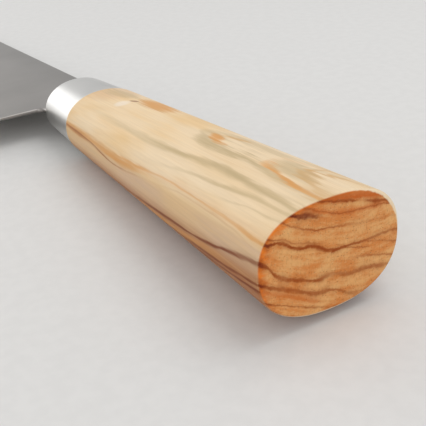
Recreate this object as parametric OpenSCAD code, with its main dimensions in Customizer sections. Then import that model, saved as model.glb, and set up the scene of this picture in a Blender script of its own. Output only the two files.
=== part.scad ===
// Kiritsuke knife with a stick tang, lying on its side as it does on a table.
// The pieces are drawn in the knife's own axes: x runs from the butt face to the tip, y from the
// spine side to the cutting edge, and z out of the upper side, with z = 0 in the blade's middle.
// laid_down() then turns the whole knife onto the table. All sizes are in millimetres.

/* [Blade] */
// Length of the blade from the heel to the tip
blade_l = 207; // [180:1:240]
// Height of the blade at the heel, spine to edge
blade_h = 47; // [44:0.5:52]
// Thickness of the spine above the heel
spine_t = 2.25; // [1.8:0.05:3]
// Thickness behind the edge bevel at the heel
edge_t = 0.6; // [0.5:0.05:0.8]
// Thickness that the blade loses from heel to tip
taper_t = 0.5; // [0:0.05:0.6]
// Fall of the straight spine between ferrule and clip
spine_drop = 3; // [0:0.5:6]
// Length of the straight stretch of edge ahead of the heel
flat_l = 85; // [60:1:110]
// Rise of the curved stretch of edge up to the tip
tip_rise = 10; // [6:0.5:16]
// Length of the clip, the slanted back of the point, along the knife
clip_l = 45; // [30:1:60]
// Angle of the edge bevel on each side
bevel_angle = 15; // [10:1:20]
// Width of the blunt land left along the very edge
land_t = 0.1; // [0.05:0.01:0.2]

/* [Neck and tang] */
// Length of the neck between ferrule and heel line
neck_l = 4.5; // [3:0.5:8]
// Distance that the neck's lower side stays inside the ferrule front
neck_inset = 0.4; // [0.2:0.1:3]
// Radius of the choil, where the neck turns into the heel line
choil_r = 2; // [1:0.5:4]
// Length of the tang behind the ferrule front
tang_l = 88; // [60:1:95]
// Height of the tang where it enters the ferrule
tang_h = 14; // [10:0.5:15]
// Height of the tang at its end
tang_end_h = 8; // [6:0.5:10]
// Thickness of the tang
tang_t = 2.2; // [1.8:0.1:2.4]

/* [Wooden handle] */
// Length of the handle from the butt face to the front of the ferrule
handle_l = 133; // [125:1:145]
// Width of the handle at the butt
butt_w = 34; // [32:0.5:36]
// Thickness of the handle at the butt
butt_t = 24.6; // [23:0.2:26]
// Width of the wood where it meets the ferrule
joint_w = 26.2; // [25.8:0.2:28]
// Thickness of the wood where it meets the ferrule
joint_t = 19.8; // [19.4:0.2:21]
// Squareness of the oval at the butt, where 2 is an ellipse
butt_square = 2.4; // [2:0.05:3]
// Squareness of the oval at the front of the ferrule
front_square = 2.1; // [2:0.05:2.6]
// Share of its half thickness by which the lower side is fuller at the butt
underside_full = 0.05; // [0:0.01:0.1]
// Radius that eases the butt edge
butt_ease = 0.8; // [0.4:0.1:2]
// Radius that eases the shoulder at the ferrule
shoulder_ease = 0.4; // [0.2:0.05:0.6]
// Width of the mortise for the tang
mortise_w = 16; // [15.5:0.5:18]
// Thickness of the mortise
mortise_t = 5; // [4:0.5:6]
// Depth of the mortise past the end of the tang
mortise_spare = 2; // [1:0.5:5]

/* [Ferrule] */
// Length of the ferrule
ferrule_l = 22.5; // [18:0.5:26]
// Width of the ferrule at its front
front_w = 23.4; // [23:0.2:24.4]
// Thickness of the ferrule at its front
front_t = 18; // [17.6:0.2:19]
// Height by which the wood stands proud of the ferrule all round
wood_proud = 0.25; // [0.1:0.05:0.35]
// Thickness of the closed front wall
front_wall = 2.5; // [2:0.25:4]
// Width of the socket for the tenon
socket_w = 20.4; // [18:0.2:20.8]
// Thickness of the socket
socket_t = 15.2; // [13:0.2:15.6]
// Radius that eases the front edge
front_ease = 0.5; // [0.2:0.1:0.8]
// Clearance of the slot round the tang
slot_gap = 0.05; // [0.02:0.01:0.1]

/* [Hidden] */

// Facets round the handle and the ferrule, along the handle, and in an eased edge
around = 96;
along = 6;
ease_steps = 5;
// Fragments in a full turn of the blade's curves and of the slots' ends
$fn = 720;
slot_fn = 48;
// Overlap that makes cuts run clean through
through = 1;

wood_l = handle_l - ferrule_l;
shoulder_x = wood_l - shoulder_ease;
heel_x = handle_l + neck_l;
tip_x = heel_x + blade_l;
// The spine is level with the spine side of the ferrule front, eased edge included
spine_y = -front_w / 2 + 0.1;
neck_y = front_w / 2 - neck_inset;
edge_y = spine_y + blade_h;
tip_y = edge_y - tip_rise;
clip_x = tip_x - clip_l;
clip_y = spine_y + spine_drop;

// The curved stretch of edge is one arc, tangent to the straight stretch and ending at the tip
belly_l = blade_l - flat_l;
belly_r = (belly_l * belly_l + tip_rise * tip_rise) / (2 * tip_rise);
belly_angle = asin(belly_l / belly_r) + 1;

// Each side of the blade is one flat plane that leans in towards the edge and towards the tip
grind_slope = (spine_t - edge_t) / 2 / blade_h;
taper_slope = taper_t / 2 / blade_l;
function half_t(x, y) = edge_t / 2 + (edge_y - y) * grind_slope - (x - heel_x) * taper_slope;

function mix(a, b, u) = a + (b - a) * u;

// One ring of points round the handle: a superellipse whose lower side is fuller
function ring(x, half_w, half_t, square, full) = [
    for (i = [0 : around - 1])
        let (c = cos(360 * i / around), s = sin(360 * i / around))
        let (y = half_w * sign(c) * pow(abs(c), 2 / square))
        let (z = half_t * sign(s) * pow(abs(s), 2 / square))
        [x, y, z - full * half_t * (1 - pow(y / half_w, 2))]
];

// Shape of the oval at a distance x from the butt face, taken in by inset all round
function square_at(x) = mix(butt_square, front_square, x / handle_l);
function full_at(x) = underside_full * (1 - x / handle_l);
function wood_ring(x, inset) =
    let (u = (x - butt_ease) / (wood_l - butt_ease))
    ring(x, mix(butt_w, joint_w, u) / 2 - inset, mix(butt_t, joint_t, u) / 2 - inset,
        square_at(x), full_at(x));
function ferrule_ring(x, inset) =
    let (u = (x - wood_l) / ferrule_l)
    ring(x, mix(joint_w / 2 - wood_proud, front_w / 2, u) - inset,
        mix(joint_t / 2 - wood_proud, front_t / 2, u) - inset, square_at(x), full_at(x));

// Solid through a list of rings, closed by a flat face at each end
module loft(rings) {
    count = len(rings);
    last = (count - 1) * around;
    sides = [
        for (k = [0 : count - 2], i = [0 : around - 1])
            let (a = k * around + i, b = k * around + (i + 1) % around)
            each [[a, a + around, b], [b, a + around, b + around]]
    ];
    back = [for (i = [0 : around - 1]) i];
    front = [for (i = [around - 1 : -1 : 0]) last + i];
    polyhedron(points = [for (r = rings) each r], faces = concat([back], sides, [front]));
}

// Slot with round ends that runs along x
module slot_along(from_x, to_x, width, thickness) {
    translate([from_x, 0, 0])
        rotate([90, 0, 90])
            linear_extrude(height = to_x - from_x)
                union() {
                    square([width - thickness, thickness], center = true);
                    for (side = [-1, 1])
                        translate([side * (width - thickness) / 2, 0])
                            circle(d = thickness, $fn = slot_fn);
                }
}

// Outline of neck and blade seen from the side. It runs past the edge, which the bevel cuts.
module blade_outline() {
    past = edge_y + 5;
    clip_slope = (tip_x - clip_x) / (tip_y - clip_y);
    polygon([
        [handle_l, spine_y],
        [clip_x, clip_y],
        [tip_x + (past - tip_y) * clip_slope, past],
        [heel_x, past],
        [heel_x, neck_y],
        [handle_l, neck_y]
    ]);
    // The choil's round corner
    difference() {
        translate([heel_x - choil_r, neck_y - through])
            square([choil_r + through, choil_r + through]);
        translate([heel_x - choil_r, neck_y + choil_r])
            circle(r = choil_r);
    }
}

// Everything below the flat upper side of the blade
module under_side_plane() {
    translate([heel_x, edge_y, edge_t / 2])
        rotate([-atan(grind_slope), atan(taper_slope), 0])
            translate([-blade_l, -2 * blade_h, -blade_h])
                cube([3 * blade_l, 4 * blade_h, blade_h]);
}

// Wedge of the edge bevel, carried along the straight edge and round the belly
module bevel_section() {
    reach = blade_h + 10;
    half_land = land_t / 2;
    half_back = half_land + reach * tan(bevel_angle);
    polygon([
        [belly_r, -half_land],
        [belly_r, half_land],
        [belly_r - reach, half_back],
        [belly_r - reach, -half_back]
    ]);
}

module bevel_sweep() {
    straight_l = flat_l + neck_l + through;
    translate([heel_x + flat_l, edge_y - belly_r, 0])
        rotate([180, 0, 90])
            union() {
                rotate_extrude(angle = belly_angle)
                    bevel_section();
                rotate([90, 0, 0])
                    linear_extrude(height = straight_l)
                        bevel_section();
            }
}

module tang() {
    parallel_x = handle_l - ferrule_l;
    end_x = handle_l - tang_l;
    translate([0, 0, -tang_t / 2])
        linear_extrude(height = tang_t)
            polygon([
                [handle_l + through, -tang_h / 2],
                [handle_l + through, tang_h / 2],
                [parallel_x, tang_h / 2],
                [end_x, tang_end_h / 2],
                [end_x, -tang_end_h / 2],
                [parallel_x, -tang_h / 2]
            ]);
}

// The knife lies on the wood's shoulder, on the ferrule's front and on the corner of the tip
// where the edge bevel starts on the clip
underneath = 3 * around / 4;
shoulder_low = wood_ring(shoulder_x, 0)[underneath];
ferrule_low = ferrule_ring(handle_l - front_ease, 0)[underneath];
tip_bevel = (half_t(tip_x, tip_y) - land_t / 2) / tan(bevel_angle);
clip_run = [clip_x - tip_x, clip_y - tip_y];
edge_out = [belly_l, belly_r - tip_rise] / belly_r;
tip_corner = [tip_x, tip_y] - clip_run * tip_bevel / (clip_run * edge_out);
tip_low = [tip_corner.x, tip_corner.y, -half_t(tip_corner.x, tip_corner.y)];
table_normal = cross(ferrule_low - shoulder_low, tip_low - shoulder_low);
rest_roll = atan2(table_normal.y, table_normal.z);
rest_pitch = atan2(-table_normal.x, norm([table_normal.y, table_normal.z]));

function turned(p) =
    let (y = p.y * cos(rest_roll) - p.z * sin(rest_roll))
    let (z = p.y * sin(rest_roll) + p.z * cos(rest_roll))
    [p.x * cos(rest_pitch) + z * sin(rest_pitch), y, z * cos(rest_pitch) - p.x * sin(rest_pitch)];

// The origin is the middle of the space that the lying knife takes up, on the table
blade_corners = [
    for (side = [-1, 1])
        each [
            [tip_x, tip_y, side * land_t / 2],
            [tip_low.x, tip_low.y, side * tip_low.z],
            [clip_x, clip_y, side * half_t(clip_x, clip_y)],
            [heel_x, edge_y, side * land_t / 2]
        ]
];
handle_rings = [
    each wood_ring(0, butt_ease),
    each wood_ring(butt_ease, 0),
    each wood_ring(shoulder_x, 0),
    each ferrule_ring(handle_l - front_ease, 0)
];
outermost = [for (p = concat(handle_rings, blade_corners)) turned(p)];
low = [for (k = [0 : 2]) min([for (p = outermost) p[k]])];
high = [for (k = [0 : 2]) max([for (p = outermost) p[k]])];
rest_shift = [-(low.x + high.x) / 2, -(low.y + high.y) / 2, -low.z];

module laid_down() {
    translate(rest_shift)
        rotate([rest_roll, rest_pitch, 0])
            children();
}

module blade() {
    color("silver")
        laid_down()
            union() {
                intersection() {
                    translate([0, 0, -blade_h / 2])
                        linear_extrude(height = blade_h)
                            blade_outline();
                    under_side_plane();
                    mirror([0, 0, 1])
                        under_side_plane();
                    bevel_sweep();
                }
                tang();
            }
}

module ferrule() {
    back_x = wood_l;
    eased = [
        for (k = [1 : ease_steps])
            let (turn = 90 * k / ease_steps)
            ferrule_ring(handle_l - front_ease * (1 - sin(turn)), front_ease * (1 - cos(turn)))
    ];
    color("gainsboro")
        laid_down()
            difference() {
                loft(concat([ferrule_ring(back_x, 0), ferrule_ring(handle_l - front_ease, 0)], eased));
                slot_along(back_x - through, handle_l - front_wall, socket_w, socket_t);
                translate([handle_l, 0, 0])
                    cube([2 * front_wall + through, tang_h + 2 * slot_gap, tang_t + 2 * slot_gap],
                        center = true);
            }
}

module mortise() {
    slot_along(handle_l - tang_l - mortise_spare, handle_l - front_wall, mortise_w, mortise_t);
}

module handle() {
    butt_edge = [
        for (k = [0 : ease_steps])
            let (turn = 90 * (1 - k / ease_steps))
            wood_ring(butt_ease * (1 - sin(turn)), butt_ease * (1 - cos(turn)))
    ];
    body = [for (k = [1 : along]) wood_ring(mix(butt_ease, shoulder_x, k / along), 0)];
    shoulder = [
        for (k = [1 : ease_steps])
            let (turn = 90 * k / ease_steps)
            wood_ring(shoulder_x + shoulder_ease * sin(turn), shoulder_ease * (1 - cos(turn)))
    ];
    color("burlywood")
        laid_down()
            difference() {
                union() {
                    loft(concat(butt_edge, body, shoulder));
                    slot_along(wood_l - through, handle_l - front_wall, socket_w, socket_t);
                }
                mortise();
            }
}

module tang_adhesive() {
    color("goldenrod")
        laid_down()
            difference() {
                mortise();
                tang();
            }
}

blade();
ferrule();
handle();
tang_adhesive();
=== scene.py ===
# Kitchen knife with a clipped point, lying on its side on a pale studio floor.
# Shapes are worked out in the knife's own axes, in millimetres: x from the butt face to the tip,
# y from the spine side to the cutting edge, z out of the upper side, and z = 0 in mid-blade.
import math
import bpy
import numpy as np
from mathutils import Matrix, Vector


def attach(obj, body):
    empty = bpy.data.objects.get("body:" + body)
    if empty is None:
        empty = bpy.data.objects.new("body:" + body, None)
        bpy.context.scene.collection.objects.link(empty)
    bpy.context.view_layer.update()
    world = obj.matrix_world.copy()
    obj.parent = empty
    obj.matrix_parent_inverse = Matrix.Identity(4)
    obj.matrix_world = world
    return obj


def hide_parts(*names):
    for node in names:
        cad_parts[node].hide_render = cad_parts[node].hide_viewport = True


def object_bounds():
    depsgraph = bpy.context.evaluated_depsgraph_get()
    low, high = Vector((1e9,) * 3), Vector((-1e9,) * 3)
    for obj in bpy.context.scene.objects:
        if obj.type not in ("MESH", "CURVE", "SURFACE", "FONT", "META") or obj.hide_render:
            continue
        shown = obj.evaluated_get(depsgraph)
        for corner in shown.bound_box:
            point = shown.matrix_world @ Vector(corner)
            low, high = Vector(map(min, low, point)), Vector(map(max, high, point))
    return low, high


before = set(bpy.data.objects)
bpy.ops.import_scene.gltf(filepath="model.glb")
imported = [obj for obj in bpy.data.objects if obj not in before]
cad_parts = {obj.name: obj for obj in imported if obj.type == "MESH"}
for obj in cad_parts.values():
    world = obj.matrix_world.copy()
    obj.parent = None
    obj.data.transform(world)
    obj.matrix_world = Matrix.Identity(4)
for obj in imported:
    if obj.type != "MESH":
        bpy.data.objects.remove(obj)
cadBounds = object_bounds()

mm = 0.001  # the scene is in metres

# Sizes in mm, as the solids have them

handleSize = {
    "length": 133.0,        # butt face to ferrule front
    "buttWidth": 34.0,
    "buttThick": 24.6,
    "jointWidth": 26.2,     # wood where it meets the ferrule
    "jointThick": 19.8,
    "buttSquare": 2.4,      # 2 is an ellipse, more is squarer
    "frontSquare": 2.1,
    "underFull": 0.05,      # how much fuller the lower side is at the butt
    "buttEase": 0.8,
    "shoulderEase": 0.4,
    "mortiseWidth": 16.0,
    "mortiseThick": 5.0,
    "mortiseFoot": 43.0,    # x of the mortise's closed end
}
ferruleSize = {
    "length": 22.5,
    "frontWidth": 23.4,
    "frontThick": 18.0,
    "woodProud": 0.25,
    "frontWall": 2.5,
    "socketWidth": 20.4,
    "socketThick": 15.2,
    "frontEase": 0.5,
    "backEase": 0.15,
    "slotWidth": 14.1,
    "slotThick": 2.3,
}
bladeSize = {
    "length": 207.0,        # heel to tip
    "height": 47.0,
    "spineThick": 2.25,
    "edgeThick": 0.6,       # behind the edge bevel
    "taper": 0.5,           # thickness lost from heel to tip
    "spineDrop": 3.0,
    "flat": 85.0,           # straight stretch of edge
    "tipRise": 10.0,
    "clip": 45.0,           # the slanted back of the point
    "bevelAngle": 15.0,
    "land": 0.1,
    "neck": 4.5,
    "spineInset": 0.1,      # the spine and the neck lie this far inside the ferrule's sides
    "neckInset": 0.4,
    "choil": 2.0,
    "backEase": 0.3,        # rounding of the spine and the clip
    "backShare": 0.6,       # the most of the half thickness that this rounding takes
    "choilEase": 0.95,      # rounding of the choil and the neck
    "choilShare": 0.9,
    "tang": 88.0,
    "tangHeight": 14.0,
    "tangEndHeight": 8.0,
    "tangThick": 2.2,
}

woodLength = handleSize["length"] - ferruleSize["length"]
shoulderX = woodLength - handleSize["shoulderEase"]
heelX = handleSize["length"] + bladeSize["neck"]
tipX = heelX + bladeSize["length"]
spineY = -ferruleSize["frontWidth"] / 2 + bladeSize["spineInset"]
neckY = ferruleSize["frontWidth"] / 2 - bladeSize["neckInset"]
edgeY = spineY + bladeSize["height"]
tipY = edgeY - bladeSize["tipRise"]
clipX = tipX - bladeSize["clip"]
clipY = spineY + bladeSize["spineDrop"]
bellyLength = bladeSize["length"] - bladeSize["flat"]
bellyRadius = (bellyLength ** 2 + bladeSize["tipRise"] ** 2) / (2 * bladeSize["tipRise"])
bellyCentre = np.array([heelX + bladeSize["flat"], edgeY - bellyRadius])
grindSlope = (bladeSize["spineThick"] - bladeSize["edgeThick"]) / 2 / bladeSize["height"]
taperSlope = bladeSize["taper"] / 2 / bladeSize["length"]
bevelSlope = math.tan(math.radians(bladeSize["bevelAngle"]))


def mix(a, b, share):
    # a at share 0, b at share 1, a straight line between
    return a + (b - a) * share


def circle(turn):
    # cosine and sine, cleared of rounding dust where they should be nothing
    c, s = np.cos(turn), np.sin(turn)
    c[np.abs(c) < 1e-9] = 0
    s[np.abs(s) < 1e-9] = 0
    return c, s


def halfBlade(x, y):
    # each side is one plane: half the edge thickness, plus the grind up to the spine, less the taper
    return bladeSize["edgeThick"] / 2 + (edgeY - y) * grindSlope - (x - heelX) * taperSlope


def oval(x, turn, halfWidth, halfThick):
    # superellipse: |y/a|^n + |z/b|^n = 1, with n falling towards the ferrule and the lower side fuller
    along = x / handleSize["length"]
    power = 2 / mix(handleSize["buttSquare"], handleSize["frontSquare"], along)
    c, s = circle(turn)
    y = halfWidth * np.sign(c) * np.abs(c) ** power
    z = halfThick * np.sign(s) * np.abs(s) ** power
    z -= handleSize["underFull"] * (1 - along) * halfThick * (1 - (y / halfWidth) ** 2)
    return np.stack([np.full_like(y, x), y, z], axis=1)


def woodRing(x, inset, turn):
    # the wood's oval at x, its width and thickness falling evenly from butt to ferrule
    share = (x - handleSize["buttEase"]) / (woodLength - handleSize["buttEase"])
    halfWidth = mix(handleSize["buttWidth"], handleSize["jointWidth"], share) / 2 - inset
    halfThick = mix(handleSize["buttThick"], handleSize["jointThick"], share) / 2 - inset
    return oval(x, turn, halfWidth, halfThick)


def ferruleRing(x, inset, turn):
    # the ferrule's oval at x, starting a little inside the wood's
    share = (x - woodLength) / ferruleSize["length"]
    proud = ferruleSize["woodProud"]
    halfWidth = mix(handleSize["jointWidth"] / 2 - proud, ferruleSize["frontWidth"] / 2, share) - inset
    halfThick = mix(handleSize["jointThick"] / 2 - proud, ferruleSize["frontThick"] / 2, share) - inset
    return oval(x, turn, halfWidth, halfThick)


def slotRing(x, width, thick, turn):
    # a stadium: round ends of the slot's thickness, joined by straight sides
    c, s = circle(turn)
    y = np.sign(c) * (width - thick) / 2 + c * thick / 2
    return np.stack([np.full_like(y, x), y, s * thick / 2], axis=1)


# How the knife lies: on the wood's shoulder, on the ferrule's front and on the tip's corner

underneath = np.array([-math.pi / 2])
shoulderLow = woodRing(shoulderX, 0, underneath)[0]
ferruleLow = ferruleRing(handleSize["length"] - ferruleSize["frontEase"], 0, underneath)[0]
tipBevel = (halfBlade(tipX, tipY) - bladeSize["land"] / 2) / bevelSlope
clipRun = np.array([clipX - tipX, clipY - tipY])
edgeOut = np.array([bellyLength, bellyRadius - bladeSize["tipRise"]]) / bellyRadius
tipCorner = np.array([tipX, tipY]) - clipRun * tipBevel / (clipRun @ edgeOut)
tipLow = np.array([*tipCorner, -halfBlade(*tipCorner)])
tableNormal = np.cross(ferruleLow - shoulderLow, tipLow - shoulderLow)
restRoll = math.atan2(tableNormal[1], tableNormal[2])
restPitch = math.atan2(-tableNormal[0], math.hypot(tableNormal[1], tableNormal[2]))
restTurn = np.array(Matrix.Rotation(restPitch, 3, "Y") @ Matrix.Rotation(restRoll, 3, "X"))


def turned(points):
    # rolled and pitched as the knife lies
    return np.asarray(points, float) @ restTurn.T


# The frame's box fixes the place: tip at its far end, heel at its side, shoulder on the floor
farTip = turned([[tipX, tipY, side * bladeSize["land"] / 2] for side in (-1, 1)])[:, 0].max()
farHeel = turned([[heelX, edgeY, side * bladeSize["land"] / 2] for side in (-1, 1)])[:, 1].max()
restShift = np.array([
    cadBounds[1].x / mm - farTip,
    cadBounds[1].y / mm - farHeel,
    cadBounds[0].z / mm - turned([shoulderLow])[0, 2],
])


def laidDown(points):
    # knife axes in mm to the scene's axes in metres
    return (turned(points) + restShift) * mm


print("rest pose: roll %.2f, pitch %.2f degrees" % (math.degrees(restRoll), math.degrees(restPitch)))

# Camera: where it stands and looks, in knife axes

viewpoint = {
    "place": (-108.27, 81.89, 71.73),
    "aim": (18.99, 14.82, 6.01),
    "roll": -5.18,          # degrees, leaning to the left
    "lens": 66.73,
    "sensor": 36,           # mm wide
    "nearest": 0.01,        # m
}


def lookingFrom(place, aim):
    # at place, with -Z towards aim and Y upwards, both given in knife axes
    place, aim = (Vector(p) for p in laidDown([place, aim]))
    return Matrix.Translation(place) @ (aim - place).to_track_quat("-Z", "Y").to_matrix().to_4x4()


def makeCamera():
    data = bpy.data.cameras.new("camera")
    data.lens = viewpoint["lens"]
    data.sensor_width = viewpoint["sensor"]
    data.clip_start = viewpoint["nearest"]
    camera = bpy.data.objects.new("camera", data)
    bpy.context.scene.collection.objects.link(camera)
    roll = Matrix.Rotation(math.radians(viewpoint["roll"]), 4, "Z")
    camera.matrix_world = lookingFrom(viewpoint["place"], viewpoint["aim"]) @ roll
    bpy.context.scene.camera = camera
    print("camera: lens %.1f mm, roll %.1f degrees" % (viewpoint["lens"], viewpoint["roll"]))


makeCamera()

# Shader helpers


def srgb(red, green, blue):
    # an 8-bit screen colour as linear light
    parts = [c / 255 for c in (red, green, blue)]
    return tuple(c / 12.92 if c <= 0.04045 else ((c + 0.055) / 1.055) ** 2.4 for c in parts) + (1.0,)


def feed(tree, socket, value):
    # a link where the value is another node's output, else a fixed value
    if isinstance(value, bpy.types.NodeSocket):
        tree.links.new(value, socket)
    else:
        socket.default_value = value


def addNode(tree, kind, inputs=None, **settings):
    # a shader node with its settings, its inputs linked or filled in
    node = tree.nodes.new("ShaderNode" + kind)
    for name, value in settings.items():
        setattr(node, name, value)
    for name, value in (inputs or {}).items():
        feed(tree, node.inputs[name], value)
    return node


def calc(tree, operation, *values):
    return addNode(tree, "Math", dict(enumerate(values)), operation=operation).outputs[0]


def times(tree, first, second):
    return calc(tree, "MULTIPLY", first, second)


def fade(tree, value, start, end, low=0.0, high=1.0):
    # smooth step from low to high while value goes from start to end
    limits = {0: value, 1: start, 2: end, 3: low, 4: high}
    return addNode(tree, "MapRange", limits, interpolation_type="SMOOTHSTEP").outputs[0]


def blend(tree, share, first, second, blendType="MIX"):
    # the first colour at share 0, the second at share 1
    inputs = {0: share, 6: first, 7: second}
    return addNode(tree, "Mix", inputs, data_type="RGBA", blend_type=blendType).outputs[2]


def stretched(tree, vector, scale):
    # a larger scale makes a pattern finer along that axis
    return addNode(tree, "Mapping", {"Vector": vector, "Scale": scale}).outputs[0]


def noise(tree, vector, scale, detail=2.0, rough=0.5):
    # fractal noise about 0.5
    inputs = {"Vector": vector, "Scale": scale, "Detail": detail, "Roughness": rough}
    return addNode(tree, "TexNoise", inputs).outputs[0]


def newMaterial(name, **shaderInputs):
    material = bpy.data.materials.new(name)
    material.use_nodes = True
    tree = material.node_tree
    shader = tree.nodes["Principled BSDF"]
    for key, value in shaderInputs.items():
        shader.inputs[key.replace("_", " ")].default_value = value
    return material, tree, shader


def knifeAxes(tree):
    # Object coordinates taken back to the knife's own axes, in mm
    coordinates = addNode(tree, "TexCoord").outputs["Object"]
    back = {
        "Vector": coordinates,
        "Location": tuple(restShift * mm),
        "Rotation": (restRoll, restPitch, 0.0),
        "Scale": (mm, mm, mm),
    }
    return addNode(tree, "Mapping", back, vector_type="TEXTURE").outputs[0]


# Wood: the grain is solid, so one set of growth layers shows on the sides and on the sawn end

oliveWood = {
    "cream": srgb(241, 218, 184),
    "honey": srgb(235, 198, 143),
    "tan": srgb(228, 190, 136),
    "pink": srgb(214, 182, 154),
    "greyGreen": srgb(200, 176, 134),
    # painted highlight colour: a glint on the wood beside the ferrule
    "knotPale": srgb(244, 227, 205),
    "ochre": srgb(210, 164, 104),
    "orange": srgb(220, 158, 88),
    "russet": srgb(174, 112, 66),
    "brown": srgb(124, 52, 2),
    "endPale": srgb(231, 173, 109),
    "endDeep": srgb(216, 134, 66),
    "endLine": srgb(154, 70, 6),
    "endRust": srgb(200, 100, 32),
    "endDark": srgb(112, 34, 0),
    "endRim": srgb(232, 118, 14),
    "endRimDeep": srgb(186, 84, 6),
    "pore": srgb(122, 72, 36),
    "tilt": -0.25,          # slope of the layers across the handle at the butt
    "untwist": 0.0025,      # by which that slope eases per mm along it
    "untwistEnd": 60.0,     # and where it stops doing so
    "cup": -0.012,          # curve of the layers across it, per mm
    "waveHeight": 0.9,      # mm
    "fibreHeight": 0.55,    # mm by which single fibres stray from their layer
    "borderStrength": 0.08,     # of the soft border of a growth line
    "borderAtButt": 0.17,       # more of it there
    "widerAtButt": 0.2,         # share by which the lines are wider there
    "pinkAlong": ((0, 0.85), (10, 0.85), (20, 0.65), (35, 0.3),
                  (46, 0.85), (60, 0.9), (75, 0.5), (105, 0.45)),
    "roughness": 0.5,
    "gloss": 0.2,
    "bump": 0.25,
    "bumpDepth": 0.00006,   # m
}
# The butt: slopes are per mm across it and upwards, shares are of the whole
sawnFace = {
    "layerAcross": 0.16,    # how fast the fine layers change across, where upwards is 1
    "layersPerMm": 1.1,
    "layerWeight": 0.75,
    "patchWeight": 0.9,
    "poresPerMm": (0.0, 1.5, 2.1),
    "stripLean": (-0.03, 0.05),
    "stripRagged": 0.03,
    "rimLean": (0.037, 0.047),
    "rimRagged": 0.22,
    "rimToneRise": -0.012,  # how the rim's tone changes per mm upwards
    "rimShare": 0.85,
    "rimLineShare": 0.95,
}
# Noise in the wood: repeats per mm along the handle, across it and upwards, then detail and roughness.
# A fourth entry turns it into a share: its start and end, and the share at each.
woodNoise = {
    "waves": ((0.07, 0.5, 0.5), 3, 0.6),
    "fibres": ((0.03, 1.8, 1.8), 4, 0.6),
    "lineWidth": ((0.06, 0.3, 0.3), 2, 0.5, (0.3, 0.7, 0.6, 1.35)),
    "lineTone": ((0.05, 0.5, 0.5), 3, 0.6, (0.35, 0.6, 0.8, 1)),
    "honeyPatches": ((0.03, 0.16, 0.16), 2, 0.5, (0.35, 0.65, 0.25, 1)),
    "pinkClouds": ((0.05, 0.25, 0.25), 3, 0.5, (0.3, 0.6, 0.6, 1)),
    "faintStreaks": ((0.02, 0.8, 0.8), 3, 0.6, (0.5, 0.75, 0, 0.3)),
    "endPatches": ((0, 0.16, 0.2), 2, 0.5),
    "endFlecks": ((0, 1.1, 3.6), 3, 0.6, (0.5, 0.7, 0, 0.32)),
    "endRays": ((0, 3.4, 0.9), 2, 0.6, (0.5, 0.75, 0, 0.3)),
    "stripEdge": ((0, 0.8, 0.8), 2, 0.5),
    "rimEdge": ((0, 0.35, 1.3), 3, 0.65),
    "rimTone": ((0, 0.45, 0.7), 3, 0.6),
}
# Smooth steps in the wood: where each starts and ends, and its value there, 0 and 1 if not given
woodSteps = {
    "nearButt": (0.5, 12, 1, 0),      # x in mm
    "honeyAlong": (30, 75, 0.4, 1),
    "spineSide": (-5, -3),              # y in mm
    "upperSide": (2, 5),                # z in mm
    # the next three steps darken the lower flank: partly the wood's colour, partly painted shade
    "tanAndShadeBelow": (2, -2.5, 0, 0.9),      # height of the layer in mm
    "pinkAndShadeBelow": (0, -3),
    "russetAndShadeBelow": (-3.6, -9.6, 0, 0.95),
    "sawnFacing": (0.62, 0.93),             # how squarely the surface looks back along the knife
    "stripFacing": (0.2, 0.8),
    "stripStart": (0.33, 0.8, 0.995, 0.925),
    "stripEdge": (0.01, 0.037),
    "rimStart": (-0.1, 0.6, 0.99, 0.84),
    "rimEdge": (-0.03, 0.13),
    "rimDeep": (0.42, 0.6, 0, 0.8),
    "endPale": (0.62, 1),
    "poreSize": (0.1, 0.28, 1, 0),
    "poreLayers": (0.62, 0.42, 0.05, 0.6),
    "lineCore": (0.15, 1.2, 1, 0),      # in halves of the line's width
    "lineBorder": (0.6, 2.4),
    "markEdge": (0.15, 1.15, 1, 0),     # in halves of the mark's size, squared
    "fibreTone": (0.3, 0.7, 0.95, 1.02),
}
# What a line's path may hold, lowest and highest
pathLimits = {"height": (-15, 15), "stray": (-5, 2), "strength": (0, 1)}
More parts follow.
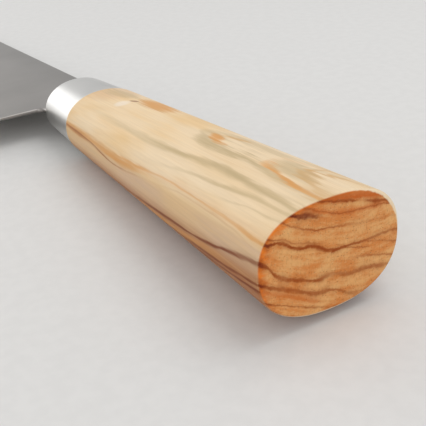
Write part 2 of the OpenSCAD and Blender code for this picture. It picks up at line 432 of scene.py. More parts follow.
# Growth lines, each with half its width in mm. Along the wood, at places in mm from the butt: height
# of the layer in mm and strength on the sides. Across the sawn end, at places from the spine side to
# the edge side: how far the line strays in mm, and strength there. A line with no colour for the side
# or for the end isn't drawn there. The spine share is what is left of it on the spine side.
growthLines = [
    {  # broad grey-green layer high on the handle
        "half": 0.8, "side": "greyGreen", "end": "endRust",
        "along": ((0, 8.5, 0.8), (10, 8.8, 0.9), (20, 8.9, 1), (35, 8.7, 1), (48, 7.8, 0.95),
                  (60, 7.4, 0.7), (80, 6.9, 0.4), (105, 7.3, 0)),
        "across": ((-17, -1.5, 0.5), (-12, -0.5, 0.7), (-8, -0.3, 0.65), (-4, -0.3, 0.6), (0, -0.2, 0.5),
                   (4, 0.2, 0.7), (8, -0.1, 0.5), (12, 0, 0.2), (15, 0, 0)),
    }, {  # thin dark strand inside it on the sawn end
        "half": 0.2, "end": "endLine",
        "along": ((0, 8.5, 0), (20, 8.5, 0)),
        "across": ((-17, -1.9, 0.6), (-14, -1.3, 0.75), (-11.5, -0.7, 0.7), (-8, -0.4, 0.55),
                   (-5, -0.5, 0.6), (-1, -0.4, 0.65), (2, 0.1, 0.5), (5, 0.5, 0.3), (7, 0.5, 0)),
    }, {  # darkest patch of the sawn end, a grey-green streak on the side
        "half": 0.75, "side": "greyGreen", "end": "endDark",
        "along": ((0, 8.2, 0.6), (10, 7.3, 0.75), (20, 6.4, 0.8), (35, 5.6, 0.5), (48, 4, 0.15),
                  (60, 3.2, 0)),
        "across": ((-17, -1, 0), (-4, -1, 0), (0, -0.8, 0), (4, -0.6, 0.75), (8, -1, 1),
                   (10.5, -0.8, 0.8), (13, -0.5, 0.05), (15, 0, 0)),
    }, {  # fine line below that patch
        "half": 0.35, "side": "greyGreen", "end": "endLine",
        "along": ((0, 6.2, 0.5), (10, 5, 0.45), (20, 4, 0.2), (35, 3.3, 0)),
        "across": ((-17, -2.5, 0.15), (-12, -1.4, 0.2), (-8, -1.1, 0.25), (-4, -0.9, 0.45),
                   (0, -1, 0.75), (4, -1.5, 0.75), (8, -1.3, 0.6), (12, -0.6, 0.3), (15, 0, 0)),
    }, {  # orange band, strongest near the ferrule
        "half": 1.5, "side": "orange", "end": "endDeep",
        "along": ((0, 1.2, 0.2), (10, 1.2, 0.2), (20, 1.5, 0.2), (35, 1.8, 0.2), (48, 0.9, 0.25),
                  (60, -0.3, 0.75), (72, -0.9, 1), (82, -0.8, 0.9), (105, -0.8, 0.8)),
        "across": ((-4, 0, 0), (0, 0, 0.2), (4, 0, 0.4), (8, 0, 0.4), (12, 0, 0.2), (15, 0, 0)),
    }, {  # main line through the middle of the sawn end
        "half": 0.4, "side": "orange", "end": "endLine",
        "along": ((0, 0.75, 0.95), (4, 0.7, 0.85), (8, 0.65, 0.75), (12, 0.75, 0.6), (16, 1, 0.5),
                  (20, 1.2, 0.45), (27, 1.35, 0.5), (34, 1.5, 0.5), (43, 1.7, 0.5), (50, 1.25, 0.5),
                  (57, 0.85, 0.8), (66, 0.4, 0.7), (80, -0.6, 0.3), (105, -0.4, 0)),
        "across": ((-17, -0.3, 0.75), (-12, 0.5, 0.7), (-8, 0.3, 0.8), (-4, 0.1, 1), (0, -0.35, 1),
                   (4, 0.6, 1), (8, -0.05, 1), (12, 0.3, 1), (15, -0.9, 0.9), (17, -0.3, 0.8)),
    }, {  # second strand of the main line
        "half": 0.3, "end": "endLine",
        "along": ((0, 0.75, 0), (20, 0.75, 0)),
        "across": ((-9.5, -1.3, 0), (-8, -1.1, 0.55), (-6.5, -0.85, 0.7), (-4, -0.35, 0.7),
                   (-2, -0.2, 0.6), (0.5, -0.7, 0.8), (2.5, -0.1, 0.5), (5.5, 0.5, 0.45),
                   (8, -0.35, 0.7), (10.5, 0, 0.4), (13, 0, 0)),
    }, {  # third strand, towards the edge side
        "half": 0.22, "end": "endLine",
        "along": ((0, 0.75, 0), (20, 0.75, 0)),
        "across": ((1.5, 1.1, 0), (3.5, 1.25, 0.4), (5.6, 1.25, 0.5), (7.5, 0.95, 0.45),
                   (9.3, 0.95, 0.55), (10.8, 1.15, 0.5), (12.4, 0.85, 0.6), (14, 0.45, 0.5),
                   (16, 0, 0.4)),
    }, {  # thin line that joins it from the spine side
        "half": 0.24, "end": "endLine",
        "along": ((0, 0, 0), (20, 0, 0)),
        "across": ((-17, -2.4, 0.6), (-15.4, -1.6, 0.55), (-13.5, -0.8, 0.45), (-11.4, 0, 0.45),
                   (-9.3, 0.65, 0.4), (-7, 1, 0.2), (-5, 1, 0)),
    }, {  # russet line that rises towards the ferrule
        "half": 0.36, "side": "russet", "end": "endLine",
        "along": ((0, -0.3, 0), (10, -0.3, 0.15), (20, 0.2, 0.25), (35, 0.4, 0.15), (48, -1, 0.05),
                  (60, -2, 0.3), (66, -2.5, 0.5), (72, -2.9, 0.75), (80, -2.2, 1), (90, -1.35, 1),
                  (97, -1.05, 1), (107, -0.95, 0.8)),
        "across": ((-17, -5, 0.6), (-12, -3.1, 0.6), (-8, -2, 0.5), (-5, -1.6, 0.15), (-3, -1.5, 0),
                   (12, -1.5, 0)),
    }, {  # soft shade along that line, on the side only
        "half": 0.75, "side": "russet",
        "along": ((74, -2.4, 0), (82, -2, 0.3), (90, -1.55, 0.5), (98, -1.3, 0.65), (107, -1.2, 0.55)),
    }, {  # dark line low on the handle
        "half": 0.62, "side": "brown", "end": "endLine",
        "along": ((0, -4.4, 0.85), (10, -5.6, 0.9), (20, -7, 0.95), (35, -7.7, 0.95), (48, -7.7, 0.9),
                  (60, -7.9, 0.7), (75, -8.3, 0.3), (92, -8.6, 0)),
        "across": ((-17, -3.6, 0.5), (-12, -1.4, 0.7), (-8, -0.7, 0.75), (-4, -1, 0.7), (0, -0.5, 0.6),
                   (4, -1.7, 0.95), (8, -1.8, 0.95), (12, -1.9, 0.9), (15, -0.3, 1), (17, 0, 1)),
    }, {  # orange band below it
        "half": 1.5, "side": "orange", "end": "endRust",
        "along": ((0, -8.6, 0.1), (10, -8.6, 0.2), (20, -8.8, 0.5), (35, -9.2, 0.7), (48, -9.4, 0.7),
                  (60, -9.6, 0.5), (80, -9.8, 0.3), (105, -9.8, 0.2)),
        "across": ((0, 0, 0), (4, 0, 0.2), (8, 0, 0.3), (12, 0, 0.3), (15, 0, 0.2), (17, 0, 0)),
    }, {  # second dark line
        "half": 0.6, "side": "brown", "end": "endLine",
        "along": ((0, -9, 0.95), (10, -9.6, 0.9), (20, -9.9, 0.8), (35, -10.1, 0.7), (48, -10.4, 0.5),
                  (60, -10.6, 0.3), (80, -10.8, 0)),
        "across": ((-17, -1.5, 0), (-12, -1.3, 0), (-8, -1.2, 0.3), (-4, -0.8, 0.6), (0, 0.65, 0.7),
                   (4, 0, 0.8), (8, 0.35, 0.8), (12, 0.3, 0.8), (15, 0.1, 0.9), (17, 0, 1)),
    }, {  # third dark line
        "half": 0.5, "side": "brown", "end": "endRust",
        "along": ((0, -10.3, 0.95), (10, -10.8, 0.9), (20, -11, 0.8), (35, -11.2, 0.7), (48, -11.4, 0.4),
                  (60, -11.6, 0.2), (80, -11.8, 0)),
        "across": ((-17, -1, 0), (-4, -1, 0), (0, -0.6, 0.1), (4, -0.5, 0.4), (8, 0.1, 0.5),
                   (12, 0.2, 0.5), (15, 0, 0.6), (17, 0, 0.8)),
    }, {  # thin lowest line
        "half": 0.25, "side": "brown", "end": "endLine",
        "along": ((0, -12.2, 0.5), (10, -12.3, 0.4), (20, -12.5, 0.3), (35, -12.5, 0.2), (48, -12.6, 0)),
        "across": ((-4, 0, 0), (0, 0, 0.2), (4, 0, 0.6), (8, 0.1, 0.7), (12, 0, 0.7), (15, -0.4, 0.7),
                   (17, 0, 0.5)),
    }, {  # rust band at the top of the sawn end
        "half": 1, "end": "endRust",
        "along": ((0, 12, 0), (10, 12, 0)),
        "across": ((-17, -3.2, 0.3), (-12, -1.9, 0.8), (-8, -1.1, 0.95), (-4, -0.7, 0.95),
                   (0, -0.4, 0.8), (4, 0, 0.35), (8, 0, 0)),
    }, {  # upper grey-green streak with a pointed bend
        "half": 0.47, "side": "greyGreen", "end": "endLine", "spineShare": 0.6,
        "along": ((0, 10.9, 0.8), (10, 10.9, 0.8), (20, 11.05, 0.85), (28, 11.12, 0.95), (35, 10.9, 1),
                  (44, 10.75, 0.95), (50, 11, 0.7), (58, 11.9, 0.3), (70, 12.8, 0)),
        "across": ((-17, -3.8, 0.6), (-13, -2.6, 0.9), (-10, -1.8, 0.95), (-8.5, -1.35, 0.6),
                   (-7.2, -1, 0.3), (-5.8, -0.75, 0.8), (-4, -0.5, 1), (0, -0.2, 1), (4, 0, 1),
                   (8, 0, 0.5), (12, 0, 0)),
    }, {  # orange line above it
        "half": 0.28, "side": "orange", "end": "endRust", "spineShare": 0.25,
        "along": ((0, 11.1, 0.7), (5, 11.05, 0.85), (8, 11.05, 1), (12, 11.18, 1), (15, 11.28, 1),
                  (18, 11.42, 1), (22, 11.53, 0.7), (25, 11.6, 0)),
        "across": ((-17, -3, 0.3), (-12, -1.3, 0.9), (-8, -0.5, 1), (-4, -0.1, 0.95), (0, -0.1, 0.7),
                   (4, 0, 0.6), (8, 0, 0)),
    }, {  # faint streak above that
        "half": 0.3, "side": "greyGreen", "end": "endRust",
        "along": ((0, 11.6, 0.2), (10, 11.7, 0.35), (18, 11.8, 0.55), (24, 11.9, 0.3), (28, 12, 0)),
        "across": ((-17, -3, 0), (-12, -0.9, 0.4), (-8, 0, 0.6), (-4, 0.2, 0.5), (0, 0.2, 0.3),
                   (4, 0, 0)),
    }, {  # ochre thread at the very top, on the side only
        "half": 0.22, "side": "ochre",
        "along": ((0, 11.65, 0.4), (4, 11.7, 0.5), (8, 11.93, 0.7), (11, 12, 0.9), (14, 12.05, 0.9),
                  (18, 12.3, 0)),
    },
]
# Marks on the upper side, seen from above: colour, strength, place and half size in mm, turn in degrees,
# and how far the fibres break up the outline. The last two sit beside the ferrule: a painted highlight,
# a pale spot standing for light glinting on the wood, and a brown knot fleck.
woodMarks = [
    ("pink", 0.42, (107, -2), (13, 9), 0, 0.6),
    ("greyGreen", 0.58, (101.5, -2.6), (9, 3.2), 8, 1.8),
    ("greyGreen", 0.4, (82.5, -4.6), (10.5, 4.8), 4, 2),
    ("orange", 0.88, (82, -5), (10.5, 4.5), 0, 1.7),
    ("orange", 0.95, (45.8, -2.2), (4.2, 1.7), -12, 2.6),
    ("orange", 0.5, (41.8, -0.6), (3.2, 1), 8, 2),
    ("ochre", 0.65, (42.3, -5.4), (5.5, 1), 15, 1.2),
    ("greyGreen", 0.42, (14.8, -3.4), (9, 2.8), -10, 1.6),
    ("ochre", 0.48, (13.4, -7.8), (3.1, 0.8), 73, 0.5),
    # painted highlight: a pale spot standing for light glinting on the wood beside the ferrule
    ("knotPale", 0.85, (91.5, 1.7), (2.7, 2.7), 0, 1),
    ("brown", 0.65, (90.6, -1.5), (2, 0.75), 24, 0.8),
]


def woodPattern(tree, axes, name):
    # the noise of that name, as a share where it has one
    perMm, detail, rough, *share = woodNoise[name]
    pattern = noise(tree, stretched(tree, axes, perMm), 1.0, detail, rough)
    return fade(tree, pattern, *share[0]) if share else pattern


def woodStep(tree, value, name):
    # the smooth step of that name
    return fade(tree, value, *woodSteps[name])


def swung(tree, pattern, reach, value):
    # the value, moved up and down by the pattern about its middle
    return calc(tree, "MULTIPLY_ADD", calc(tree, "SUBTRACT", pattern, 0.5), reach, value)


def growthHeight(tree, axes, x, y, z):
    # layers: z + tilt y + cup y^2, the tilt easing along the handle, all of it gently waved
    wood = oliveWood
    eased = calc(tree, "MINIMUM", x, wood["untwistEnd"])
    slope = calc(tree, "MULTIPLY_ADD", eased, wood["untwist"], wood["tilt"])
    height = calc(tree, "MULTIPLY_ADD", y, slope, z)
    height = calc(tree, "MULTIPLY_ADD", times(tree, y, y), wood["cup"], height)
    return swung(tree, woodPattern(tree, axes, "waves"), wood["waveHeight"], height)


def curveOf(tree, place, path, column, kind):
    # a smooth curve through one column of the path, whose first column is the place along it
    low, high = pathLimits[kind]
    start, end = path[0][0], path[-1][0]
    share = addNode(tree, "MapRange", {0: place, 1: start, 2: end}).outputs[0]
    curve = addNode(tree, "FloatCurve", {"Value": share})
    points = curve.mapping.curves[0].points
    spots = [((row[0] - start) / (end - start), (row[column] - low) / (high - low)) for row in path]
    points[0].location, points[1].location = spots[0], spots[-1]
    for spot in spots[1:-1]:
        points.new(*spot)
    curve.mapping.update()
    return calc(tree, "MULTIPLY_ADD", curve.outputs[0], high - low, low)


def lineMask(tree, height, x, y, nearButt, ragged, uneven, line):
    # one inside a growth line and nothing outside it, its width and its edges uneven
    wood = oliveWood
    centre = curveOf(tree, x, line["along"], 1, "height")
    if "end" in line:
        stray = curveOf(tree, y, line["across"], 1, "stray")
        centre = calc(tree, "MULTIPLY_ADD", stray, nearButt, centre)
    away = calc(tree, "ABSOLUTE", calc(tree, "SUBTRACT", height, centre))
    half = calc(tree, "MULTIPLY_ADD", nearButt, wood["widerAtButt"] * line["half"], line["half"])
    away = calc(tree, "DIVIDE", away, times(tree, ragged, half))
    core = times(tree, woodStep(tree, away, "lineCore"), uneven)
    border = calc(tree, "MULTIPLY_ADD", nearButt, wood["borderAtButt"], wood["borderStrength"])
    return calc(tree, "MAXIMUM", core, fade(tree, away, *woodSteps["lineBorder"], border, 0.0))


def markMask(tree, x, y, fibres, place, size, turn, broken):
    # an oval of the mark's half sizes, turned, its edge broken up along the grain
    cosine, sine = math.cos(math.radians(turn)), math.sin(math.radians(turn))
    dx, dy = calc(tree, "SUBTRACT", x, place[0]), calc(tree, "SUBTRACT", y, place[1])
    along = calc(tree, "MULTIPLY_ADD", dx, cosine, times(tree, dy, sine))
    across = calc(tree, "MULTIPLY_ADD", dy, cosine, times(tree, dx, -sine))
    along = calc(tree, "POWER", calc(tree, "DIVIDE", along, size[0]), 2.0)
    across = calc(tree, "POWER", calc(tree, "DIVIDE", across, size[1]), 2.0)
    spread = swung(tree, fibres, broken, calc(tree, "ADD", along, across))
    return woodStep(tree, spread, "markEdge")


def plainSide(tree, axes, x, height, fineHeight):
    # wood of the sides before its lines: cream above, then tan and pink, russet at the bottom; this
    # darkening towards the bottom is partly the wood's own colour and partly painted shade of the lower
    # flank
    wood = oliveWood
    patches = woodPattern(tree, axes, "honeyPatches")
    honeyed = times(tree, patches, woodStep(tree, x, "honeyAlong"))
    side = blend(tree, honeyed, wood["cream"], wood["honey"])
    side = blend(tree, woodStep(tree, fineHeight, "tanAndShadeBelow"), side, wood["tan"])
    clouds = woodPattern(tree, axes, "pinkClouds")
    pinkish = times(tree, clouds, woodStep(tree, height, "pinkAndShadeBelow"))
    pinkish = times(tree, pinkish, curveOf(tree, x, wood["pinkAlong"], 1, "strength"))
    side = blend(tree, pinkish, side, wood["pink"])
    side = blend(tree, woodStep(tree, fineHeight, "russetAndShadeBelow"), side, wood["russet"])
    return blend(tree, woodPattern(tree, axes, "faintStreaks"), side, wood["tan"])


def plainEnd(tree, axes, y, height):
    # the sawn end before its lines: deeper colour, fine layers, flecks, rays across them and pores
    wood, face = oliveWood, sawnFace
    acrossSlowly = times(tree, y, face["layerAcross"])
    flat = addNode(tree, "CombineXYZ", {0: 0.0, 1: acrossSlowly, 2: height}).outputs[0]
    layers = noise(tree, flat, face["layersPerMm"], 4.0, 0.6)
    patches = woodPattern(tree, axes, "endPatches")
    tone = times(tree, layers, face["layerWeight"])
    tone = calc(tree, "MULTIPLY_ADD", patches, face["patchWeight"], tone)
    end = blend(tree, woodStep(tree, tone, "endPale"), wood["endDeep"], wood["endPale"])
    end = blend(tree, woodPattern(tree, axes, "endFlecks"), end, wood["tan"])
    end = blend(tree, woodPattern(tree, axes, "endRays"), end, wood["endLine"])
    cells = {"Vector": stretched(tree, axes, face["poresPerMm"]), "Scale": 1.0}
    dots = addNode(tree, "TexVoronoi", cells).outputs["Distance"]
    inLayers = woodStep(tree, layers, "poreLayers")
    pores = times(tree, woodStep(tree, dots, "poreSize"), inLayers)
    return blend(tree, pores, end, wood["pore"])


def outwardOnEnd(tree, y, z):
    # 0 in the middle of the sawn end and 1 at its edge: the oval's own superellipse
    halfWidth, halfThick = handleSize["buttWidth"] / 2, handleSize["buttThick"] / 2
    power = handleSize["buttSquare"]
    across = calc(tree, "POWER", calc(tree, "ABSOLUTE", calc(tree, "DIVIDE", y, halfWidth)), power)
    upward = calc(tree, "POWER", calc(tree, "ABSOLUTE", calc(tree, "DIVIDE", z, halfThick)), power)
    return calc(tree, "POWER", calc(tree, "ADD", across, upward), 1 / power)


def leanOf(tree, y, z, slopes):
    # how far a point of the end lies towards one side of it
    return calc(tree, "MULTIPLY_ADD", y, slopes[0], times(tree, z, slopes[1]))


def paleEdgeStrip(tree, axes, y, z):
    # one on a pale strip along the upper spine side of the end's edge, coloured as the sides, nothing on
    # the rest
    start = woodStep(tree, leanOf(tree, y, z, sawnFace["stripLean"]), "stripStart")
    ragged = woodPattern(tree, axes, "stripEdge")
    outward = calc(tree, "MULTIPLY_ADD", ragged, sawnFace["stripRagged"], outwardOnEnd(tree, y, z))
    return woodStep(tree, calc(tree, "SUBTRACT", outward, start), "stripEdge")


def rimMask(tree, axes, y, z):
    # the oil has soaked in from the edge of the sawn end, deepest on its upper edge side
    start = woodStep(tree, leanOf(tree, y, z, sawnFace["rimLean"]), "rimStart")
    ragged = woodPattern(tree, axes, "rimEdge")
    outward = swung(tree, ragged, sawnFace["rimRagged"], outwardOnEnd(tree, y, z))
    return woodStep(tree, calc(tree, "SUBTRACT", outward, start), "rimEdge")


def oiledRim(tree, axes, z, rim, end):
    # the end, deeper in colour where the rim mask is
    wood, face = oliveWood, sawnFace
    tone = calc(tree, "MULTIPLY_ADD", z, face["rimToneRise"], woodPattern(tree, axes, "rimTone"))
    colour = blend(tree, woodStep(tree, tone, "rimDeep"), wood["endRim"], wood["endRimDeep"])
    return blend(tree, times(tree, rim, face["rimShare"]), end, colour)


def woodMaterial():
    # sides and sawn end are built up apart, from plain wood, growth lines and marks, and then joined
    wood = oliveWood
    finish = {"Roughness": wood["roughness"], "Specular_IOR_Level": wood["gloss"]}
    material, tree, shader = newMaterial("oliveWood", **finish)
    axes = knifeAxes(tree)
    x, y, z = addNode(tree, "SeparateXYZ", {0: axes}).outputs
    height = growthHeight(tree, axes, x, y, z)
    fibres = woodPattern(tree, axes, "fibres")
    fineHeight = swung(tree, fibres, wood["fibreHeight"], height)
    ragged = woodPattern(tree, axes, "lineWidth")
    uneven = woodPattern(tree, axes, "lineTone")
    nearButt = woodStep(tree, x, "nearButt")

    # the butt face, as far as the surface looks back along the knife
    facing = addNode(tree, "VectorMath", {
        0: addNode(tree, "TexCoord").outputs["Normal"],
        1: tuple(turned([-1.0, 0.0, 0.0])),
    }, operation="DOT_PRODUCT").outputs["Value"]
    strip = paleEdgeStrip(tree, axes, y, z)
    unstripped = calc(tree, "SUBTRACT", 1.0, strip)
    sawn = times(tree, woodStep(tree, facing, "sawnFacing"), unstripped)

    side = plainSide(tree, axes, x, height, fineHeight)
    rim = rimMask(tree, axes, y, z)
    end = oiledRim(tree, axes, z, rim, plainEnd(tree, axes, y, fineHeight))
    rimDark = times(tree, rim, sawnFace["rimLineShare"])
    for line in growthLines:
        mask = lineMask(tree, fineHeight, x, y, nearButt, ragged, uneven, line)
        if "side" in line:
            share = times(tree, mask, curveOf(tree, x, line["along"], 2, "strength"))
            if "spineShare" in line:
                left = fade(tree, y, *woodSteps["spineSide"], line["spineShare"], 1.0)
                share = times(tree, share, left)
            side = blend(tree, share, side, wood[line["side"]])
        if "end" in line:
            share = times(tree, mask, curveOf(tree, y, line["across"], 2, "strength"))
            end = blend(tree, share, end, wood[line["end"]])
            if line["end"] == "endLine":
                end = blend(tree, times(tree, share, rimDark), end, wood["endDark"])
    upper = woodStep(tree, z, "upperSide")
    for colour, strength, *shape in woodMarks:
        share = times(tree, markMask(tree, x, y, fibres, *shape), upper)
        side = blend(tree, times(tree, share, strength), side, wood[colour])

    paleStrip = times(tree, strip, woodStep(tree, facing, "stripFacing"))
    side = blend(tree, paleStrip, side, wood["cream"])
    tone = woodStep(tree, fibres, "fibreTone")
    colour = blend(tree, 1.0, blend(tree, sawn, side, end), tone, "MULTIPLY")
    feed(tree, shader.inputs["Base Color"], colour)
    relief = {"Height": fibres, "Strength": wood["bump"], "Distance": wood["bumpDepth"]}
    feed(tree, shader.inputs["Normal"], addNode(tree, "Bump", relief).outputs[0])
    print("wood: %d growth lines, %d marks" % (len(growthLines), len(woodMarks)))
    return material


# Steel and adhesive

steel = {
    "blade": {
        "colour": srgb(166, 162, 158),
        "roughness": 0.34,
        "scratches": (5.0, 0.1, 0.1),   # per mm: they run from spine to edge
        "scratchDepth": 0.000008,       # m
    },
    "ferrule": {
        "colour": srgb(225, 224, 221),
        "roughness": 0.3,
        "scratches": (7.0, 0.12, 0.12),  # they run round the ferrule
        "scratchDepth": 0.000001,
    },
    "scratchBump": 0.3,
    "scratchStep": (0.2, 0.8),          # from a scratch's floor to its top,
    "roughnessSwing": (0.93, 1.08),     # and the share of the roughness at each
    "clouds": (0.05, 0.05, 0.05),       # per mm
    "cloudStep": (0.3, 0.7, 0.0, 0.12),
    "cloudColour": (0.1, 0.09, 0.085, 1.0),
    # painted shade: the steel darkens towards the spine side, standing for a dark reflection there
    "spineShadeStep": (-11.0, 5.0, 0.82, 1.0),   # from and to this y, and the brightness at each
}
curedEpoxy = {
    "deep": srgb(205, 160, 84),
    "pale": srgb(226, 188, 118),
    "roughness": 0.35,
    "cloudsPerMm": 0.4,
}


def steelMaterial(name, finish):
    # satin steel: fine scratches in relief and roughness, faint clouds and painted shade that darkens
    # the spine side
    material, tree, shader = newMaterial(name, Metallic=1.0)
    axes = knifeAxes(tree)
    scratches = noise(tree, stretched(tree, axes, finish["scratches"]), 1.0, 3.0, 0.6)
    clouds = noise(tree, stretched(tree, axes, steel["clouds"]), 1.0, 2.0)
    tone = blend(tree, fade(tree, clouds, *steel["cloudStep"]), finish["colour"], steel["cloudColour"])
    y = addNode(tree, "SeparateXYZ", {0: axes}).outputs["Y"]
    # painted shade: darker towards the spine side, standing for a dark reflection there
    tone = blend(tree, 1.0, tone, fade(tree, y, *steel["spineShadeStep"]), "MULTIPLY")
    feed(tree, shader.inputs["Base Color"], tone)
    low, high = (finish["roughness"] * share for share in steel["roughnessSwing"])
    feed(tree, shader.inputs["Roughness"], fade(tree, scratches, *steel["scratchStep"], low, high))
    relief = {"Height": scratches, "Strength": steel["scratchBump"], "Distance": finish["scratchDepth"]}
    feed(tree, shader.inputs["Normal"], addNode(tree, "Bump", relief).outputs[0])
    return material


def adhesiveMaterial():
    # clouds of a deeper and a paler resin colour
    material, tree, shader = newMaterial("curedEpoxy", Roughness=curedEpoxy["roughness"])
    cloudy = noise(tree, knifeAxes(tree), curedEpoxy["cloudsPerMm"], 3.0)
    colour = blend(tree, cloudy, curedEpoxy["deep"], curedEpoxy["pale"])
    feed(tree, shader.inputs["Base Color"], colour)
    return material


# Mesh helpers

sharpAngle = 24             # degrees between two faces from which their edge stays sharp


def finishPiece(name, points, faces, material, slotName, *nodes):
    # points in knife axes become a mesh in the scene, riding on the knife's one body
    mesh = bpy.data.meshes.new(name)
    mesh.from_pydata(laidDown(points), [], faces)
    mesh.update()
    mesh.shade_smooth()
    mesh.set_sharp_from_angle(angle=math.radians(sharpAngle))
    mesh.materials.append(material)
    piece = bpy.data.objects.new(name, mesh)
    bpy.context.scene.collection.objects.link(piece)
    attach(piece, "root")
    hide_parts(*nodes)
    print("%s: %d faces" % (name, len(mesh.polygons)))
    return piece


def ringFaces(rings, around, first=0):
    # quads between one ring and the next, as index arrays
    row, column = np.meshgrid(np.arange(rings - 1), np.arange(around), indexing="ij")
    a = first + row * around + column
    b = first + row * around + (column + 1) % around
    return np.stack([b, b + around, a + around, a], axis=-1).reshape(-1, 4)


def fan(centre, ringStart, around, outward):
    # triangles from a ring to the point in its middle
    a = ringStart + np.arange(around)
    b = ringStart + (np.arange(around) + 1) % around
    middle = np.full(around, centre)
    return np.stack([middle, b, a] if outward else [middle, a, b], axis=1)


# Handle and ferrule

aroundHandle = 256          # points round each ring
handleRings = 90            # along the outside
ferruleRings = 24
easeSteps = 9               # in each rounded edge
buttInsets = (11.0, 8.0, 5.0, 2.5, 1.0)     # rings of the butt face, mm inside its eased edge
turns = np.linspace(0, 2 * math.pi, aroundHandle, endpoint=False)
quarter = np.radians(np.linspace(0, 90, easeSteps))


def easedRings(ring, x, ease, inward):
    # a rounded edge at x, along a quarter circle: from the face out to the side where inward is 1, and
    # from the side in to the face where it is -1
    sweep = math.pi / 2 - quarter if inward > 0 else quarter[1:]
    return [ring(x + inward * ease * (1 - math.sin(q)), ease * (1 - math.cos(q)), turns) for q in sweep]


def makeHandle(material):
    # rings from the middle of the butt over the outside, the shoulder and the tenon into the mortise
    size = handleSize
    rings = [woodRing(0.0, size["buttEase"] + inset, turns) for inset in buttInsets]
    rings += easedRings(woodRing, 0.0, size["buttEase"], 1)
    rings += [woodRing(x, 0.0, turns) for x in np.linspace(size["buttEase"], shoulderX, handleRings)[1:]]
    rings += easedRings(woodRing, woodLength, size["shoulderEase"], -1)
    tenonEnd = size["length"] - ferruleSize["frontWall"]
    for x in (woodLength, tenonEnd):
        rings.append(slotRing(x, ferruleSize["socketWidth"], ferruleSize["socketThick"], turns))
    for x in (tenonEnd, size["mortiseFoot"]):
        rings.append(slotRing(x, size["mortiseWidth"], size["mortiseThick"], turns))
    points = np.concatenate(rings + [[[0.0, 0.0, 0.0], [size["mortiseFoot"], 0.0, 0.0]]])
    count = len(rings)
    buttMiddle, mortiseMiddle = count * aroundHandle, count * aroundHandle + 1
    faces = ringFaces(count, aroundHandle).tolist()
    faces += fan(buttMiddle, 0, aroundHandle, True).tolist()
    faces += fan(mortiseMiddle, (count - 1) * aroundHandle, aroundHandle, False).tolist()
    return finishPiece("handle_wood", points, faces, material, "olive_wood", "handle")


def makeFerrule(material):
    # a closed loop of rings: from the socket's mouth over the outside, in at the slot and back
    size = ferruleSize
    frontX = handleSize["length"]
    socket = (size["socketWidth"], size["socketThick"])
    slot = (size["slotWidth"], size["slotThick"])
    outside = np.linspace(woodLength + size["backEase"], frontX - size["frontEase"], ferruleRings)
    rings = [slotRing(woodLength, *socket, turns)]
    rings += easedRings(ferruleRing, woodLength, size["backEase"], 1)
    rings += [ferruleRing(x, 0.0, turns) for x in outside[1:]]
    rings += easedRings(ferruleRing, frontX, size["frontEase"], -1)
    rings.append(slotRing(frontX, *slot, turns))
    rings.append(slotRing(frontX - size["frontWall"], *slot, turns))
    rings.append(slotRing(frontX - size["frontWall"], *socket, turns))
    count = len(rings)
    faces = ringFaces(count, aroundHandle)
    # the last ring closes on the first
    column = np.arange(aroundHandle)
    nextColumn = (column + 1) % aroundHandle
    last = (count - 1) * aroundHandle
    closing = np.stack([last + nextColumn, nextColumn, column, last + column], axis=1)
    faces = np.concatenate([faces, closing]).tolist()
    points = np.concatenate(rings)
    return finishPiece("ferrule_collar", points, faces, material, "ferrule_steel", "ferrule")


# Blade

bladeSteps = {
    "spine": 30,            # points along this stretch of the outline, as for those below
    "clip": 12,
    "belly": 60,
    "flat": 20,
    "heel": 12,
    "choil": 16,
    "neck": 3,
    "ease": 10,             # rings in the rounding of the back and in the edge bevel
}


def straight(start, end, count):
    # points spaced evenly from start to end
    return mix(np.array(start)[None], np.array(end)[None], np.linspace(0, 1, count)[:, None])


def arc(centre, radius, start, end, count):
    # centre plus radius times cosine and sine, from start to end in degrees
    turn = np.radians(np.linspace(start, end, count))
    return np.array(centre) + radius * np.stack([np.cos(turn), np.sin(turn)], axis=1)


def bladeOutline():
    # the outline seen from above, from the ferrule along the spine, round the edge and back
    size, steps = bladeSize, bladeSteps
    frontX = handleSize["length"]
    bellyTurn = math.degrees(math.asin(bellyLength / bellyRadius))
    choilCentre = (heelX - size["choil"], neckY + size["choil"])
    return [
        ("eased", straight((frontX, spineY), (clipX, clipY), steps["spine"])),
        ("eased", straight((clipX, clipY), (tipX, tipY), steps["clip"])),
        ("edge", arc(bellyCentre, bellyRadius, 90 - bellyTurn, 90, steps["belly"])),
        ("edge", straight((heelX + size["flat"], edgeY), (heelX, edgeY), steps["flat"])),
        ("round", straight((heelX, edgeY), (heelX, choilCentre[1]), steps["heel"])),
        ("round", arc(choilCentre, size["choil"], 0, -90, steps["choil"])),
        ("round", straight((choilCentre[0], neckY), (frontX, neckY), steps["neck"])),
        ("plain", straight((frontX, neckY), (frontX, spineY), steps["neck"])),
    ]


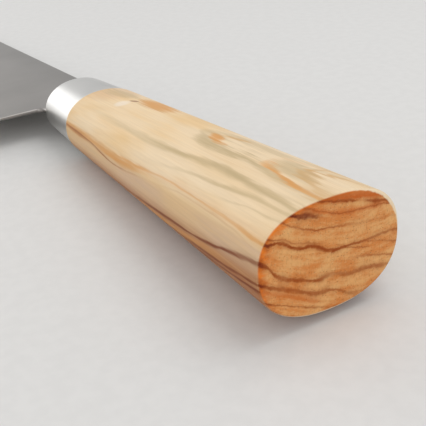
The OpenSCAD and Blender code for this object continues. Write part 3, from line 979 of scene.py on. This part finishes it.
def bladeRings(stretches):
    # every stretch gives its points but the last, each with the inward normal before and after it
    size = bladeSize
    places, before, after, kindBefore, kindAfter = [], [], [], [], []
    for (kind, line), (kindLast, lineLast) in zip(stretches, stretches[-1:] + stretches[:-1]):
        run = np.diff(line, axis=0)
        inward = np.stack([-run[:, 1], run[:, 0]], axis=1) / np.linalg.norm(run, axis=1)[:, None]
        runLast = lineLast[-1] - lineLast[-2]
        inwardLast = np.array([-runLast[1], runLast[0]]) / np.linalg.norm(runLast)
        places.append(line[:-1])
        after.append(inward)
        before.append(np.concatenate([[inwardLast], inward[:-1]]))
        kindAfter += [kind] * len(inward)
        kindBefore += [kindLast] + [kind] * (len(inward) - 1)
    place, before, after = (np.concatenate(part) for part in (places, before, after))
    kindBefore, kindAfter = np.array(kindBefore), np.array(kindAfter)
    half = halfBlade(place[:, 0], place[:, 1])
    bevelWidth = (half - size["land"] / 2) / (bevelSlope - grindSlope)
    easings = {
        "eased": np.minimum(size["backEase"], half * size["backShare"]),
        "round": np.minimum(size["choilEase"], half * size["choilShare"]),
    }

    def insetOf(kinds, share):
        # how far in from the outline: along the bevel's width, or along a quarter circle
        distance = np.where(kinds == "edge", bevelWidth * share, 0.0)
        for kind, ease in easings.items():
            distance = np.where(kinds == kind, ease * (1 - math.cos(share * math.pi / 2)), distance)
        return distance

    def heightOf(kinds, share, x, y):
        # up the bevel from the land, or up a quarter circle to the flat side
        flat = halfBlade(x, y)
        slanted = size["land"] / 2 + bevelWidth * share * bevelSlope
        height = np.where(kinds == "edge", np.minimum(slanted, flat), flat)
        for kind, ease in easings.items():
            height = np.where(kinds == kind, flat - ease * (1 - math.sin(share * math.pi / 2)), height)
        return height

    # a corner moves in until it is as far from the stretch before it as from the one after it asks
    cosine = np.sum(before * after, axis=1)
    bent = 1 - cosine ** 2 > 1e-4       # the rest counts as straight on
    safe = np.where(bent, 1 - cosine ** 2, 1.0)
    rings = []
    for share in np.linspace(0, 1, bladeSteps["ease"] + 1):
        insetBefore, insetAfter = insetOf(kindBefore, share), insetOf(kindAfter, share)
        partBefore = np.where(bent, (insetBefore - cosine * insetAfter) / safe, 0.0)
        partAfter = np.where(bent, (insetAfter - cosine * insetBefore) / safe, insetAfter)
        spot = place + before * partBefore[:, None] + after * partAfter[:, None]
        height = np.minimum(heightOf(kindBefore, share, *spot.T), heightOf(kindAfter, share, *spot.T))
        if share == 1:
            height = halfBlade(*spot.T)
        rings.append(np.column_stack([spot, height]))
    return rings


def tangCorners():
    # six corners above and six below: full height to the wood's end, then narrowing to the foot
    size = bladeSize
    frontX = handleSize["length"]
    footX = frontX - size["tang"]
    high, low = size["tangHeight"] / 2, size["tangEndHeight"] / 2
    outline = np.array([
        (frontX, -high), (frontX, high), (woodLength, high),
        (footX, low), (footX, -low), (woodLength, -high),
    ])
    layers = [np.full(len(outline), side * size["tangThick"] / 2) for side in (1, -1)]
    return np.concatenate([np.column_stack([outline, layer]) for layer in layers])


def makeBlade(material):
    # the upper side's rings from the flat to the edge, and the same ones mirrored below
    rings = bladeRings(bladeOutline())
    count = len(rings[0])
    allRings = rings[::-1] + [ring * (1, 1, -1) for ring in rings]
    points = np.concatenate(allRings)
    faces = ringFaces(len(allRings), count)[:, ::-1].tolist()
    faces.append(list(range(count)))
    faces.append(list(range(len(points) - 1, len(points) - 1 - count, -1)))
    tang = tangCorners()
    first, corners = len(points), len(tang) // 2
    points = np.concatenate([points, tang])
    faces += ringFaces(2, corners, first)[:, ::-1].tolist()
    faces.append([first + k for k in range(corners)])
    faces.append([first + len(tang) - 1 - k for k in range(corners)])
    return finishPiece("blade_steel", points, faces, material, "blade_steel", "blade")


ferruleSteel = steelMaterial("satinCollar", steel["ferrule"])
bladeSteel = steelMaterial("satinBlade", steel["blade"])
makeHandle(woodMaterial())
makeFerrule(ferruleSteel)
makeBlade(bladeSteel)
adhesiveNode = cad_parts["tang_adhesive"]
adhesiveNode.data.materials.clear()
adhesiveNode.data.materials.append(adhesiveMaterial())

# Studio

studio = {
    "floor": srgb(222, 221, 219),
    "floorReach": 6.0,                  # m from the middle
    "floorRoughness": 0.6,
    "floorGrain": 300.0,                # per m
    "floorStep": (0.3, 0.7, 0.97, 1.0),
    "air": (0.66, 0.66, 0.66, 1.0),
    "backdrop": srgb(190, 189, 187),    # what the camera sees beyond the floor
    # place and aim in knife axes (mm), size in mm, power in watts
    "lights": {
        "window": {"place": (620, 190, 222), "aim": (60, 0, 0), "size": (420, 440), "power": 0.56},
        "overhead": {"place": (40, -260, 620), "aim": (80, 0, 0), "size": (500, 500), "power": 1.3},
        "front": {"place": (-480, 330, 300), "aim": (20, 0, 0), "size": (360, 360), "power": 0.8},
    },
}


def makeStudio():
    # a pale floor, even air and three soft lamps
    material, tree, shader = newMaterial("paleFloor", Roughness=studio["floorRoughness"])
    grain = noise(tree, addNode(tree, "TexCoord").outputs["Object"], studio["floorGrain"], 2.0)
    tone = fade(tree, grain, *studio["floorStep"])
    feed(tree, shader.inputs["Base Color"], blend(tree, 1.0, studio["floor"], tone, "MULTIPLY"))
    reach = studio["floorReach"]
    corners = [(x * reach, y * reach, 0) for x, y in ((-1, -1), (1, -1), (1, 1), (-1, 1))]
    mesh = bpy.data.meshes.new("floor")
    mesh.from_pydata(corners, [], [(0, 1, 2, 3)])
    mesh.materials.append(material)
    floor = bpy.data.objects.new("floor", mesh)
    bpy.context.scene.collection.objects.link(floor)

    world = bpy.data.worlds.new("studioAir")
    bpy.context.scene.world = world
    world.use_nodes = True
    tree = world.node_tree
    background = tree.nodes["Background"]
    seen = addNode(tree, "LightPath").outputs["Is Camera Ray"]
    feed(tree, background.inputs["Color"], blend(tree, seen, studio["air"], studio["backdrop"]))

    for name, lamp in studio["lights"].items():
        data = bpy.data.lights.new(name, "AREA")
        data.shape = "RECTANGLE"
        data.size, data.size_y = (side * mm for side in lamp["size"])
        data.energy = lamp["power"]
        light = bpy.data.objects.new(name, data)
        light.matrix_world = lookingFrom(lamp["place"], lamp["aim"])
        bpy.context.scene.collection.objects.link(light)
    print("studio: floor and %d lamps" % len(studio["lights"]))


makeStudio()
view = bpy.context.scene.view_settings
view.view_transform = "Standard"
